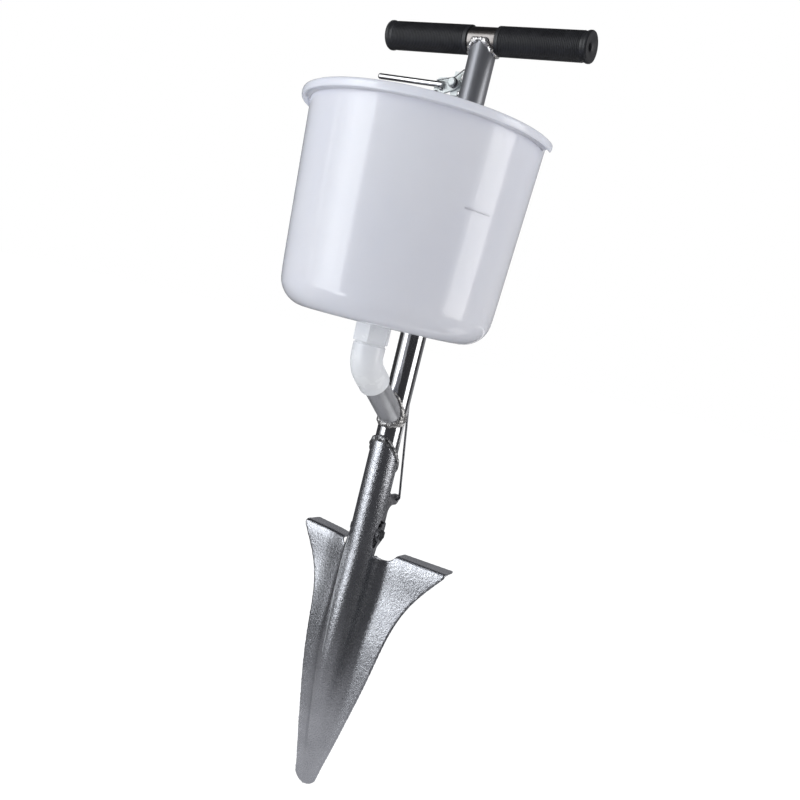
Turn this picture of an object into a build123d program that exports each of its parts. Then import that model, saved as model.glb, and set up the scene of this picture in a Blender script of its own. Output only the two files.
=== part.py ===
from build123d import *
import math
import os

os.makedirs("parts", exist_ok=True)

# Jab planter, in millimetres.
# The origin is the blade's tip. +Z runs up the shaft's axis, +X along the handle to the user's right
# and -Y to the front, where the hopper hangs.

# Driving dimensions: the steel tubes
shaft_r = 16.0
tube_wall = 2.0
shaft_bottom_z = 330.0
bar_r = 15.0
bar_z = 938.7
bar_half_length = 128.0
branch_r = 15.0
branch_z = 481.9
weld_leg = 2.4
handle_weld_leg = 1.7

# Driving dimensions: the grips
grip_r = 16.7
grip_bead_r = 17.5
grip_bead_length = 5.0
grip_start_x = 17.8
grip_end_wall = 4.0
grip_vent_r = 2.5

# Driving dimensions: the hopper
hopper_floor_z = 590.0
hopper_rim_z = 819.0
hopper_wall = 2.5
hopper_bottom_r = 119.3
hopper_bottom_y = -78.0
hopper_top_r = 131.4
hopper_top_y = -80.0
hopper_back_y = -23.5
hopper_corner_r = 5.0
hopper_front_round = 30.0
hopper_back_round = 18.0
lip_width = 9.8
lip_height = 9.5
lip_wall = 3.0
lip_end_y = -50.0
lip_top_round = 2.5
lip_edge_round = 2.0

# Driving dimensions: the outlet under the hopper
outlet_y = -91.0
elbow_bend_z = 543.1
elbow_leg = 38.0
elbow_socket_depth = 20.0
elbow_r = 18.5
elbow_bend_r = 26.0
outlet_bore_r = 12.5
outlet_tube_r = 15.0
collar_height = 21.5
collar_flats = 36.5
collar_turn = -8.0
flange_r = 27.0
flange_height = 3.0
seal_height = 2.0

# Driving dimensions: the pressed blade
sheet_thickness = 2.8
socket_fit = 0.1
socket_front_z = 456.5
socket_slope = 1.18
tread_z = 311.0
tread_fold_r = 5.0
tread_inner_x = 36.5
tread_outer_x = 107.5
tread_depth_inner = 23.5
tread_depth_outer = 29.0
tip_r = 18.0
notch_x = 27.5
notch_r = 12.0
notch_bottom_z = 307.0

# Driving dimensions: the flap and its hinge
flap_sheet = 2.5
flap_top_z = 351.5
flap_shoulder_z = 330.0
flap_neck_z = 320.0
flap_bottom_z = 53.5
ear_play = 0.4
ear_r = 9.3
hinge_y = 4.5
hinge_z = 338.5
hinge_bolt_r = 4.0
arm_thickness = 4.0
arm_x = -3.0
lug_y = 61.0
lug_z = 373.5
lug_r = 7.0
lug_hole_r = 2.5

# Driving dimensions: the trigger and its wire, with drops counted down from the bar's axis
pivot_x = -25.2
pivot_drop = 53.2
pivot_bolt_r = 3.0
bracket_thickness = 4.0
plate_thickness = 3.0
plate_play = 0.3
plate_swell_x = -42.5
plate_swell_drop = 55.7
wire_hole_x = -46.5
wire_hole_drop = 64.7
rod_r = 3.5
rod_tip_x = -131.0
rod_tip_drop = 53.2
rod_root_x = -38.0
rod_root_drop = 57.0
wire_r = 1.5
wire_bend_r = 4.0
spring_mean_r = 5.2
spring_wire_r = 0.7
spring_pitch = 1.85

# Clearances
pin_fit = 0.05
side_play = 0.1
hook_play = 0.5
spring_play = 0.4

# Sizes that follow from the driving ones
branch_angle = math.atan2(-outlet_y, elbow_bend_z - branch_z)
branch_axis = Vector(0, -math.sin(branch_angle), math.cos(branch_angle))
branch_plane = Plane(origin=(0, 0, branch_z), x_dir=(1, 0, 0), z_dir=branch_axis)
socket_inner_r = shaft_r + socket_fit
socket_r = socket_inner_r + sheet_thickness
pivot_z = bar_z - pivot_drop
plate_swell_z = bar_z - plate_swell_drop
wire_hole_z = bar_z - wire_hole_drop
rod_tip_z = bar_z - rod_tip_drop
rod_root_z = bar_z - rod_root_drop


def finish(builder, name):
    """Name the finished piece and write it to its own file."""
    builder.part.label = name
    export_step(builder.part, f"parts/{name}.step")


def tube(plane, outer_r, inner_r, length):
    """Extrude a round tube along a plane's normal."""
    with BuildSketch(plane) as ring:
        Circle(outer_r)
        Circle(inner_r, mode=Mode.SUBTRACT)
    extrude(ring.sketch, amount=length)


def rod(plane, radius, length, mode=Mode.ADD):
    """Extrude a round rod along a plane's normal."""
    with BuildSketch(plane) as disc:
        Circle(radius)
    extrude(disc.sketch, amount=length, mode=mode)


def hexagon(plane, across_flats, height, hole_r=0.0, turn=0.0):
    """Extrude a hexagon along a plane's normal, with a hole if it is a nut."""
    with BuildSketch(plane) as six_sides:
        RegularPolygon(across_flats / math.sqrt(3), 6, rotation=turn)
        if hole_r:
            Circle(hole_r, mode=Mode.SUBTRACT)
    extrude(six_sides.sketch, amount=height)


# Tools that several pieces are cut with: the shaft and the bar as plain round bars
shaft_body = Pos(0, 0, shaft_bottom_z) * Cylinder(
    shaft_r, bar_z - shaft_bottom_z, align=(Align.CENTER, Align.CENTER, Align.MIN)
)
bar_body = Pos(0, 0, bar_z) * Rot(0, 90, 0) * Cylinder(bar_r, 2 * bar_half_length)

# Shaft: a steel tube, coped to the bar at its top, open to the branch and drilled for the hinge bolt
shaft_top_z = bar_z - 3.0
with BuildPart() as shaft:
    tube(Plane.XY.offset(shaft_bottom_z), shaft_r, shaft_r - tube_wall, shaft_top_z - shaft_bottom_z)
    add(bar_body, mode=Mode.SUBTRACT)
    rod(branch_plane, branch_r - tube_wall, 3 * shaft_r, Mode.SUBTRACT)
    hinge_hole_plane = Plane(origin=(-2 * shaft_r, hinge_y, hinge_z), z_dir=(1, 0, 0))
    rod(hinge_hole_plane, hinge_bolt_r + pin_fit, 4 * shaft_r, Mode.SUBTRACT)
finish(shaft, "shaft_tube")

# Handle bar: the T's cross tube
with BuildPart() as handle_bar:
    bar_end = Plane(origin=(-bar_half_length, 0, bar_z), z_dir=(1, 0, 0))
    tube(bar_end, bar_r, bar_r - tube_wall, 2 * bar_half_length)
finish(handle_bar, "handle_bar")

# Grips: rubber sleeves with a beaded, closed end and a small vent hole in it
grip_end_x = bar_half_length + grip_end_wall
for side, grip_name in ((-1, "left_grip"), (1, "right_grip")):
    with BuildPart() as grip:
        grip_plane = Plane(origin=(0, 0, bar_z), x_dir=(side, 0, 0), z_dir=(0, -side, 0))
        with BuildSketch(grip_plane):
            with BuildLine():
                Polyline(
                    (grip_start_x, bar_r),
                    (grip_start_x, grip_r - 1.0),
                    (grip_start_x + 1.0, grip_r),
                    (grip_end_x - grip_bead_length - 1.0, grip_r),
                    (grip_end_x - grip_bead_length, grip_bead_r),
                    (grip_end_x - 1.5, grip_bead_r),
                    (grip_end_x, grip_bead_r - 1.5),
                    (grip_end_x, grip_vent_r),
                    (bar_half_length, grip_vent_r),
                    (bar_half_length, bar_r),
                    close=True,
                )
            make_face()
        revolve(axis=Axis((0, 0, bar_z), (1, 0, 0)))
    finish(grip, grip_name)

# Handle weld: the ring of weld metal where the shaft's cope meets the bar
with BuildPart() as handle_weld:
    rod(Plane.XY.offset(bar_z - 2 * bar_r), shaft_r + handle_weld_leg, 2 * bar_r - 3.0)
    rod(Plane(origin=(-3 * bar_r, 0, bar_z), z_dir=(1, 0, 0)), bar_r + handle_weld_leg, 6 * bar_r,
        Mode.INTERSECT)
    add(shaft_body, mode=Mode.SUBTRACT)
    add(bar_body, mode=Mode.SUBTRACT)
finish(handle_weld, "handle_weld")

# Branch tube: leads slantwise from the elbow into the shaft's side
bend_distance = math.hypot(outlet_y, elbow_bend_z - branch_z)
branch_length = bend_distance - elbow_leg + elbow_socket_depth
with BuildPart() as branch:
    tube(branch_plane, branch_r, branch_r - tube_wall, branch_length)
    add(shaft_body, mode=Mode.SUBTRACT)
finish(branch, "branch_tube")

# Branch weld: the ring of weld metal round the branch's foot
with BuildPart() as branch_weld:
    rod(branch_plane, branch_r + weld_leg, 3 * shaft_r)
    rod(Plane.XY.offset(shaft_bottom_z), shaft_r + weld_leg, bar_z - shaft_bottom_z, Mode.INTERSECT)
    add(shaft_body, mode=Mode.SUBTRACT)
    rod(branch_plane, branch_r, 4 * shaft_r, Mode.SUBTRACT)
finish(branch_weld, "branch_weld")


def d_outline(radius, centre_y, back_y, corner):
    """Draw a D: a flat back, two rounded corners and a round front in two arcs."""
    corner_y = back_y - corner
    corner_x = math.sqrt((radius - corner) ** 2 - (corner_y - centre_y) ** 2)
    meet = math.atan2(corner_y - centre_y, corner_x)
    corner_mid = (meet + math.pi / 2) / 2
    side_mid = (meet - math.pi / 2) / 2
    Line((-corner_x, back_y), (corner_x, back_y))
    for side in (1, -1):
        corner_end = (side * radius * math.cos(meet), centre_y + radius * math.sin(meet))
        ThreePointArc(
            (side * corner_x, back_y),
            (side * (corner_x + corner * math.cos(corner_mid)), corner_y + corner * math.sin(corner_mid)),
            corner_end,
        )
        ThreePointArc(
            corner_end,
            (side * radius * math.cos(side_mid), centre_y + radius * math.sin(side_mid)),
            (0, centre_y - radius),
        )


def d_face(z, radius, centre_y, back_y, corner):
    """A D-shaped face at a height."""
    with BuildSketch(Plane.XY.offset(z)) as d_shape:
        with BuildLine():
            d_outline(radius, centre_y, back_y, corner)
        make_face()
    return d_shape.sketch


def round_inset(height, round_r):
    """How far a rounded bottom edge draws in at a height above the floor."""
    if height >= round_r:
        return 0.0
    return round_r - math.sqrt(round_r**2 - (round_r - height) ** 2)


def hopper_face(height, inset):
    """The hopper's D at a height above its floor, drawn in by a wall thickness for the inside."""
    share = height / (hopper_rim_z - hopper_floor_z)
    radius = hopper_bottom_r + share * (hopper_top_r - hopper_bottom_r)
    centre_y = hopper_bottom_y + share * (hopper_top_y - hopper_bottom_y)
    front = round_inset(height - inset, hopper_front_round - inset)
    back = round_inset(height - inset, hopper_back_round - inset)
    return d_face(
        hopper_floor_z + height,
        radius - inset - front,
        centre_y,
        hopper_back_y - inset - back,
        hopper_corner_r - inset,
    )


def hopper_solid(inset, mode):
    """A round-bottomed D bucket, in two lofts: the rounded bottom and the tapered wall."""
    round_r = hopper_front_round - inset
    round_shares = (0.0, 0.05, 0.15, 0.32, 0.55, 0.8, 1.0)
    bottom = [hopper_face(inset + share * round_r, inset) for share in round_shares]
    loft(bottom, mode=mode)
    wall = [hopper_face(height, inset) for height in (hopper_front_round, hopper_rim_z - hopper_floor_z)]
    loft(wall, ruled=True, mode=mode)


# Hopper: a moulded bucket with a turned-down lip round its front and a saddle that rests on the shaft
clip_z = 758.5
clip_bolt_x = 27.0
clip_bolt_r = 3.0
saddle_half_width = 12.0
saddle_height = 30.0
lip_r = hopper_top_r + lip_width
with BuildPart() as hopper:
    lip_plane = Plane(origin=(0, hopper_top_y, hopper_rim_z - lip_height))
    rod(lip_plane, lip_r, lip_height)
    fillet(hopper.edges().group_by(Axis.Z)[-1], lip_top_round)
    fillet(hopper.edges().group_by(Axis.Z)[0], lip_edge_round)
    rod(lip_plane, lip_r - lip_wall, lip_height - lip_wall, Mode.SUBTRACT)
    split(bisect_by=Plane.XZ.offset(-lip_end_y), keep=Keep.TOP)
    hopper_solid(0.0, Mode.ADD)
    with BuildSketch(Plane.XY.offset(clip_z - saddle_height / 2)):
        with Locations((0, (hopper_back_y - 1.0 - saddle_half_width) / 2)):
            Rectangle(2 * saddle_half_width, -hopper_back_y + 1.0 - saddle_half_width)
    extrude(amount=saddle_height)
    hopper_solid(hopper_wall, Mode.SUBTRACT)
    add(shaft_body, mode=Mode.SUBTRACT)
    outlet_hole_plane = Plane(origin=(0, outlet_y, hopper_floor_z - 1.0))
    rod(outlet_hole_plane, outlet_tube_r + pin_fit, 3 * hopper_wall, Mode.SUBTRACT)
    with BuildSketch(Plane(origin=(0, hopper_back_y + 1.0, clip_z), x_dir=(1, 0, 0), z_dir=(0, -1, 0))):
        with GridLocations(2 * clip_bolt_x, 1, 2, 1):
            Circle(clip_bolt_r + pin_fit)
    extrude(amount=3 * hopper_wall, mode=Mode.SUBTRACT)
finish(hopper, "hopper")

# Outlet seal and fitting: a flanged tube that hangs through the hopper's floor on a rubber ring
seal_z = hopper_floor_z + hopper_wall
flange_z = seal_z + seal_height
fitting_bottom_z = hopper_floor_z - collar_height - 10.0
with BuildPart() as outlet_seal:
    tube(Plane(origin=(0, outlet_y, seal_z)), flange_r - 1.0, outlet_tube_r, seal_height)
finish(outlet_seal, "outlet_seal")

with BuildPart() as outlet_fitting:
    tube(Plane(origin=(0, outlet_y, fitting_bottom_z)), outlet_tube_r, outlet_bore_r,
         flange_z + flange_height - fitting_bottom_z)
    tube(Plane(origin=(0, outlet_y, flange_z)), flange_r, outlet_bore_r, flange_height)
finish(outlet_fitting, "outlet_fitting")

# Outlet nut: the hexagonal collar that draws the fitting down on its seal
with BuildPart() as outlet_nut:
    collar_plane = Plane(origin=(0, outlet_y, hopper_floor_z - collar_height))
    hexagon(collar_plane, collar_flats, collar_height, outlet_tube_r, collar_turn)
    chamfer(outlet_nut.edges().filter_by(Axis.Z, reverse=True).filter_by(GeomType.LINE), 0.8)
finish(outlet_nut, "outlet_nut")

# Elbow: a plastic bend with a socket for the fitting and one for the branch tube
elbow_top = Vector(0, outlet_y, hopper_floor_z - collar_height)
elbow_bend = Vector(0, outlet_y, elbow_bend_z)
elbow_mouth = elbow_bend - branch_axis * elbow_leg
with BuildPart() as elbow:
    with BuildLine() as elbow_path:
        FilletPolyline(elbow_top, elbow_bend, elbow_mouth, radius=elbow_bend_r)
    with BuildSketch(Plane(origin=elbow_top, z_dir=(0, 0, -1))):
        Circle(elbow_r)
    sweep(path=elbow_path.line)
    with BuildSketch(Plane(origin=elbow_top, z_dir=(0, 0, -1))):
        Circle(outlet_bore_r)
    sweep(path=elbow_path.line, mode=Mode.SUBTRACT)
    rod(Plane(origin=elbow_top, z_dir=(0, 0, -1)), outlet_tube_r,
        elbow_top.Z - fitting_bottom_z, Mode.SUBTRACT)
    rod(Plane(origin=elbow_mouth, z_dir=branch_axis), branch_r, elbow_socket_depth, Mode.SUBTRACT)
finish(elbow, "elbow")

# Hopper clip: a strap round the back of the shaft with two flanges against the hopper
clip_strap = 2.0
clip_height = 16.0
clip_flange_x = 36.0
with BuildPart() as hopper_clip:
    with BuildSketch(Plane.XY.offset(clip_z - clip_height / 2)):
        Circle(shaft_r + clip_strap)
        with Locations((0, hopper_back_y / 2)):
            Rectangle(2 * (shaft_r + clip_strap), -hopper_back_y)
        with Locations((0, hopper_back_y + clip_strap / 2)):
            Rectangle(2 * clip_flange_x, clip_strap)
        Circle(shaft_r, mode=Mode.SUBTRACT)
        with Locations((0, hopper_back_y / 2)):
            Rectangle(2 * shaft_r, -hopper_back_y, mode=Mode.SUBTRACT)
    extrude(amount=clip_height)
    flange_ends = hopper_clip.edges().filter_by(Axis.Y).group_by(Axis.X)
    fillet(flange_ends[0] + flange_ends[-1], 4.0)
    with BuildSketch(Plane(origin=(0, hopper_back_y - 1.0, clip_z), x_dir=(1, 0, 0), z_dir=(0, 1, 0))):
        with GridLocations(2 * clip_bolt_x, 1, 2, 1):
            Circle(clip_bolt_r + pin_fit)
    extrude(amount=2 * clip_strap, mode=Mode.SUBTRACT)
finish(hopper_clip, "hopper_clip")

# Clip bolts, nuts and washers: heads inside the hopper, nuts behind the flanges
clip_washer = 1.6
clip_head = 4.0
clip_nut_height = 5.0
clip_flats = 10.0
clip_washer_r = 6.0
inner_face_y = hopper_back_y - hopper_wall
outer_face_y = hopper_back_y + clip_strap
clip_bolt_length = 16.0
with BuildPart() as clip_bolts:
    for side in (-1, 1):
        head_plane = Plane(origin=(side * clip_bolt_x, inner_face_y - clip_washer - clip_head, clip_z),
                           z_dir=(0, 1, 0))
        hexagon(head_plane, clip_flats, clip_head)
        rod(head_plane.offset(clip_head), clip_bolt_r, clip_bolt_length)
finish(clip_bolts, "clip_bolts")

with BuildPart() as clip_washers:
    for side in (-1, 1):
        for washer_y in (inner_face_y - clip_washer, outer_face_y):
            tube(Plane(origin=(side * clip_bolt_x, washer_y, clip_z), z_dir=(0, 1, 0)),
                 clip_washer_r, clip_bolt_r, clip_washer)
finish(clip_washers, "clip_washers")

with BuildPart() as clip_nuts:
    for side in (-1, 1):
        nut_plane = Plane(origin=(side * clip_bolt_x, outer_face_y + clip_washer, clip_z), z_dir=(0, 1, 0))
        hexagon(nut_plane, clip_flats, clip_nut_height, clip_bolt_r)
finish(clip_nuts, "clip_nuts")


def polar(angle_deg, radius):
    """A vector in the XY plane from its direction and length."""
    angle = math.radians(angle_deg)
    return Vector(radius * math.cos(angle), radius * math.sin(angle))


def blade_face(z, half_width, edge_y, crest_r, crest_y, flank_deg, wing_deg, root_r):
    """One section of the pressed sheet at a height, seen from above: wing, root bend, ridge flank,
    round crest, and the same mirrored. The front line is drawn first, then the back line, which is
    the front one moved in by the sheet's thickness."""
    flank = polar(90 - flank_deg, 1)
    wing = polar(wing_deg, 1)
    turn = math.radians(90 - flank_deg - wing_deg)
    centre = Vector(0, crest_y + crest_r)
    edge = Vector(half_width, edge_y)
    crest_end = centre + polar(-flank_deg, crest_r)
    across = edge - crest_end
    flank_length = (across.X * wing.Y - across.Y * wing.X) / (flank.X * wing.Y - flank.Y * wing.X)
    corner = crest_end + flank * flank_length
    root_tangent = root_r * math.tan(turn / 2)
    root_in = corner - flank * root_tangent
    root_out = corner + wing * root_tangent
    root_centre = root_in + polar(-flank_deg, root_r)
    mid_deg = (180 - flank_deg + 90 + wing_deg) / 2
    back_normal = polar(90 + wing_deg, sheet_thickness)
    inward = polar(180 - flank_deg, sheet_thickness)

    front = [
        edge,
        root_out,
        root_centre + polar(mid_deg, root_r),
        root_in,
        crest_end,
        centre - Vector(0, crest_r),
    ]
    back = [
        edge + back_normal,
        root_out + back_normal,
        root_centre + polar(mid_deg, root_r + sheet_thickness),
        root_in + inward,
        crest_end + inward,
        centre - Vector(0, crest_r - sheet_thickness),
    ]
    with BuildSketch(Plane.XY.offset(z)) as section:
        with BuildLine():
            for side in (front, back):
                right = side[:5]
                left = [Vector(-p.X, p.Y) for p in right]
                for a, b, c, d, e in (right, left):
                    Line(a, b)
                    ThreePointArc(b, c, d)
                    Line(d, e)
                ThreePointArc(right[4], side[5], left[4])
            for sign in (1, -1):
                Line((sign * front[0].X, front[0].Y), (sign * back[0].X, back[0].Y))
        make_face()
    return section.sketch


# Blade: stations of the pressing from its point up to the fold of the treads. Each one gives the height,
# half width, Y of the wing's edge, radius and Y of the ridge's crest, slope of the flank and of the wing
# in degrees, and the radius of the bend between them.
tread_slope = 5.0
tread_edge_y = 25.4
blade_stations = (
    (0.0, 15.3, -1.5, 11.0, -2.8, 84.5, 1.0, 27.0),
    (19.5, 18.0, -1.3, 8.0, -3.6, 78.0, 1.0, 22.0),
    (53.5, 26.4, 0.3, 7.0, -8.7, 55.0, 2.0, 18.0),
    (93.5, 35.8, 2.0, 10.0, -16.0, 36.0, 3.0, 22.0),
    (143.5, 46.6, 5.0, 14.5, -21.5, 22.0, 4.0, 20.0),
    (198.5, 56.2, 9.2, 17.5, -23.6, 13.0, 5.0, 17.0),
    (253.5, 70.4, 17.5, 18.7, -22.2, 8.0, 5.0, 18.0),
    (283.5, 87.2, 21.5, 18.9, -20.4, 5.0, 5.0, 18.0),
    (tread_z, tread_outer_x, tread_edge_y, socket_r, -socket_r, 3.0, tread_slope, 17.0),
)
notch_z = notch_bottom_z + notch_r
socket_cut_r = 41.4
socket_cut_y = 36.0
socket_cut_z = hinge_z - 4.0
fold_line = polar(tread_slope, 1)
fold_back = polar(90 + tread_slope, 1)
fold_length = tread_outer_x - tread_inner_x
fold_start = Vector(tread_outer_x, tread_edge_y) - fold_line * fold_length
with BuildPart() as blade:
    loft([blade_face(*station) for station in blade_stations])
    # The point is rounded in front view.
    with BuildSketch(Plane.XZ.offset(-2 * tread_outer_x)):
        with Locations((0, tip_r)):
            Circle(tip_r)
        with Locations((0, tip_r + tread_z)):
            Rectangle(4 * tread_outer_x, 2 * tread_z)
    extrude(amount=4 * tread_outer_x, mode=Mode.INTERSECT)
    # The socket goes on up round the shaft, with a slanting top and a scallop behind for the hinge.
    tube(Plane.XY.offset(tread_z), socket_r, socket_inner_r, socket_front_z - tread_z + 2 * socket_r)
    socket_top = Plane(origin=(0, 0, socket_front_z - socket_slope * socket_r), x_dir=(1, 0, 0),
                       z_dir=(0, socket_slope, 1))
    split(bisect_by=socket_top, keep=Keep.BOTTOM)
    with BuildSketch(Plane(origin=(-2 * socket_r, socket_cut_y, socket_cut_z), z_dir=(1, 0, 0))):
        Circle(socket_cut_r)
    scallop = extrude(amount=4 * socket_r, mode=Mode.PRIVATE)
    with BuildSketch(Plane.XY.offset(tread_z)):
        Rectangle(6 * socket_r, 6 * socket_r)
    upper_half = extrude(amount=socket_front_z, mode=Mode.PRIVATE)
    add(scallop & upper_half, mode=Mode.SUBTRACT)
    # Each tread folds back from the top of a wing.
    fold_plane = Plane(origin=(fold_start.X, fold_start.Y, tread_z), x_dir=fold_back, z_dir=fold_line)
    with BuildSketch(fold_plane):
        with BuildLine():
            inner_r = tread_fold_r - sheet_thickness
            slant = math.sqrt(0.5)
            Line((0, 0), (sheet_thickness, 0))
            ThreePointArc(
                (sheet_thickness, 0),
                (tread_fold_r - inner_r * slant, inner_r * slant),
                (tread_fold_r, inner_r),
            )
            Line((tread_fold_r, inner_r), (tread_depth_outer, inner_r))
            Line((tread_depth_outer, inner_r), (tread_depth_outer, tread_fold_r))
            Line((tread_depth_outer, tread_fold_r), (tread_fold_r, tread_fold_r))
            ThreePointArc(
                (tread_fold_r, tread_fold_r),
                (tread_fold_r * (1 - slant), tread_fold_r * slant),
                (0, 0),
            )
        make_face()
    full_tread = extrude(amount=fold_length, mode=Mode.PRIVATE)
    # Its back edge slants, because the tread is deeper at its outer end.
    with BuildSketch(Plane.XY.offset(tread_z)):
        with BuildLine():
            Polyline(
                fold_start + fold_back * tread_depth_inner,
                fold_start + fold_line * fold_length + fold_back * tread_depth_outer,
                fold_start + fold_back * 2 * tread_depth_outer,
                close=True,
            )
        make_face()
    right_tread = full_tread - extrude(amount=2 * tread_fold_r, mode=Mode.PRIVATE)
    add(right_tread)
    add(mirror(right_tread, about=Plane.YZ, mode=Mode.PRIVATE))
    # A round notch parts each tread from the socket.
    with BuildSketch(Plane.XZ.offset(-4 * socket_r)):
        with Locations((notch_x, notch_z), (-notch_x, notch_z)):
            Circle(notch_r)
    extrude(amount=4 * socket_r - hinge_y - 1.0, mode=Mode.SUBTRACT)
finish(blade, "blade")

# Socket weld: the bead along the socket's slanting top edge
with BuildPart() as socket_weld:
    tube(Plane.XY.offset(hinge_z), socket_r, shaft_r, 2 * (socket_front_z - hinge_z))
    split(bisect_by=socket_top, keep=Keep.TOP)
    split(bisect_by=socket_top.offset(weld_leg), keep=Keep.BOTTOM)
finish(socket_weld, "socket_weld")


def flap_face(z, half_width, web_y, front_y, inner_r):
    """One section of the flap's channel at a height: a web at the back and a flange on each side."""
    outer_r = inner_r + flap_sheet
    centre_x = half_width - outer_r
    centre_y = web_y - outer_r
    slant = math.sqrt(0.5)
    with BuildSketch(Plane.XY.offset(z)) as section:
        with BuildLine():
            for radius, reach in ((outer_r, half_width), (inner_r, half_width - flap_sheet)):
                Line((-centre_x, centre_y + radius), (centre_x, centre_y + radius))
                for side in (1, -1):
                    ThreePointArc(
                        (side * centre_x, centre_y + radius),
                        (side * (centre_x + radius * slant), centre_y + radius * slant),
                        (side * reach, centre_y),
                    )
                    Line((side * reach, centre_y), (side * reach, front_y))
            for side in (1, -1):
                Line((side * half_width, front_y), (side * (half_width - flap_sheet), front_y))
        make_face()
    return section.sketch


# Rear flap: a channel that closes the ridge's hollow from behind, with two ears on the hinge bolt.
# Each station gives the height, half width, Y of the web's back, Y of the flanges' front edges and the
# radius inside the bend between them.
ear_x = shaft_r + ear_play + flap_sheet
ear_plane = Plane(origin=(-2 * ear_x, hinge_y, hinge_z), x_dir=(0, 1, 0), z_dir=(1, 0, 0))
flap_web_y = 21.5
flap_stations = (
    (flap_bottom_z, 7.0, 2.2, -1.6, 1.0),
    (193.5, 13.0, 5.5, -5.0, 4.0),
    (flap_neck_z, 15.5, 17.5, 1.0, 7.0),
    (flap_shoulder_z, ear_x, flap_web_y, hinge_y - ear_r, 9.0),
    (flap_top_z, ear_x, flap_web_y, hinge_y - ear_r, 9.0),
)
with BuildPart() as rear_flap:
    loft([flap_face(*station) for station in flap_stations], ruled=True)
    with BuildSketch(ear_plane):
        with Locations((-2 * ear_r, 0)):
            Rectangle(4 * ear_r, 2 * (hinge_z - flap_neck_z))
        Circle(ear_r, mode=Mode.SUBTRACT)
    extrude(amount=4 * ear_x, mode=Mode.SUBTRACT)
    rod(ear_plane, hinge_bolt_r + pin_fit, 4 * ear_x, Mode.SUBTRACT)
finish(rear_flap, "rear_flap")

# Flap arm: a flat plate on the flap's back, with a lug for the pull wire
arm_back_y = 46.5
arm_low_z = 335.0
with BuildPart() as flap_arm:
    with BuildSketch(Plane(origin=(arm_x - arm_thickness / 2, 0, 0), x_dir=(0, 1, 0), z_dir=(1, 0, 0))):
        with BuildLine():
            FilletPolyline(
                (flap_web_y, arm_low_z),
                (arm_back_y, arm_low_z),
                (arm_back_y, lug_z - lug_r),
                (lug_y, lug_z - lug_r),
                (lug_y, lug_z + lug_r),
                (flap_web_y + 3.5, lug_z + lug_r),
                (flap_web_y, flap_top_z),
                radius=(1.0, 6.0, 9.0, 1.0, 1.0, 4.0, 1.0),
                close=True,
            )
        make_face()
        with Locations((lug_y, lug_z)):
            Circle(lug_r)
            Circle(lug_hole_r, mode=Mode.SUBTRACT)
    extrude(amount=arm_thickness)
finish(flap_arm, "flap_arm")

# Arm weld: a bead along each side of the arm
with BuildPart() as arm_weld:
    for side in (-1, 1):
        rod(Plane(origin=(arm_x + side * arm_thickness / 2, flap_web_y, arm_low_z + 3.0)), weld_leg,
            flap_top_z - arm_low_z - 5.0)
    add(flap_arm.part, mode=Mode.SUBTRACT)
    add(rear_flap.part, mode=Mode.SUBTRACT)
finish(arm_weld, "arm_weld")

# Hinge bolt, nut and washers: the flap's ears turn on the bolt, which crosses the shaft's lower end
hinge_washer = 0.8
hinge_washer_r = 8.0
hinge_head = 2.2
hinge_nut_height = 2.4
hinge_end = 0.3
hinge_flats = 12.0
hinge_seat_x = ear_x + side_play + hinge_washer
hinge_left = Plane(origin=(-hinge_seat_x, hinge_y, hinge_z), z_dir=(-1, 0, 0))
hinge_right = Plane(origin=(hinge_seat_x, hinge_y, hinge_z), z_dir=(1, 0, 0))
with BuildPart() as hinge_bolt:
    hexagon(hinge_right, hinge_flats, hinge_head)
    rod(hinge_right, hinge_bolt_r, -2 * hinge_seat_x - hinge_nut_height - hinge_end)
finish(hinge_bolt, "hinge_bolt")

with BuildPart() as hinge_nut:
    hexagon(hinge_left, hinge_flats, hinge_nut_height, hinge_bolt_r)
finish(hinge_nut, "hinge_nut")

with BuildPart() as hinge_washers:
    for seat in (hinge_left, hinge_right):
        tube(seat.offset(-hinge_washer), hinge_washer_r, hinge_bolt_r, hinge_washer)
finish(hinge_washers, "hinge_washers")

# Trigger bracket: a plate welded on the shaft's left side
bracket_low_z = pivot_z - 13.0
bracket_high_z = pivot_z + 15.0
bracket_edge_x = pivot_x - 4.0
bracket_eye_r = 10.5
with BuildPart() as trigger_bracket:
    with BuildSketch(Plane.XZ.offset(-bracket_thickness / 2)):
        with Locations((pivot_x, pivot_z)):
            Circle(bracket_eye_r)
        with Locations((bracket_edge_x / 2, (bracket_low_z + bracket_high_z) / 2)):
            Rectangle(-bracket_edge_x, bracket_high_z - bracket_low_z)
        with Locations((pivot_x, pivot_z)):
            Circle(pivot_bolt_r, mode=Mode.SUBTRACT)
    extrude(amount=bracket_thickness)
    add(shaft_body, mode=Mode.SUBTRACT)
finish(trigger_bracket, "trigger_bracket")

# Bracket welds: two short upright beads in the corner between the bracket's front and the shaft
bracket_weld_r = 3.4
bracket_weld_x = -math.sqrt(shaft_r**2 - (bracket_thickness / 2) ** 2)
with BuildPart() as bracket_welds:
    for low_z, bead_length in ((bracket_low_z, 5.0), (pivot_z + 5.0, 6.5)):
        rod(Plane(origin=(bracket_weld_x, -bracket_thickness / 2, low_z)), bracket_weld_r, bead_length)
    add(shaft_body, mode=Mode.SUBTRACT)
    add(trigger_bracket.part, mode=Mode.SUBTRACT)
finish(bracket_welds, "bracket_welds")

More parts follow.
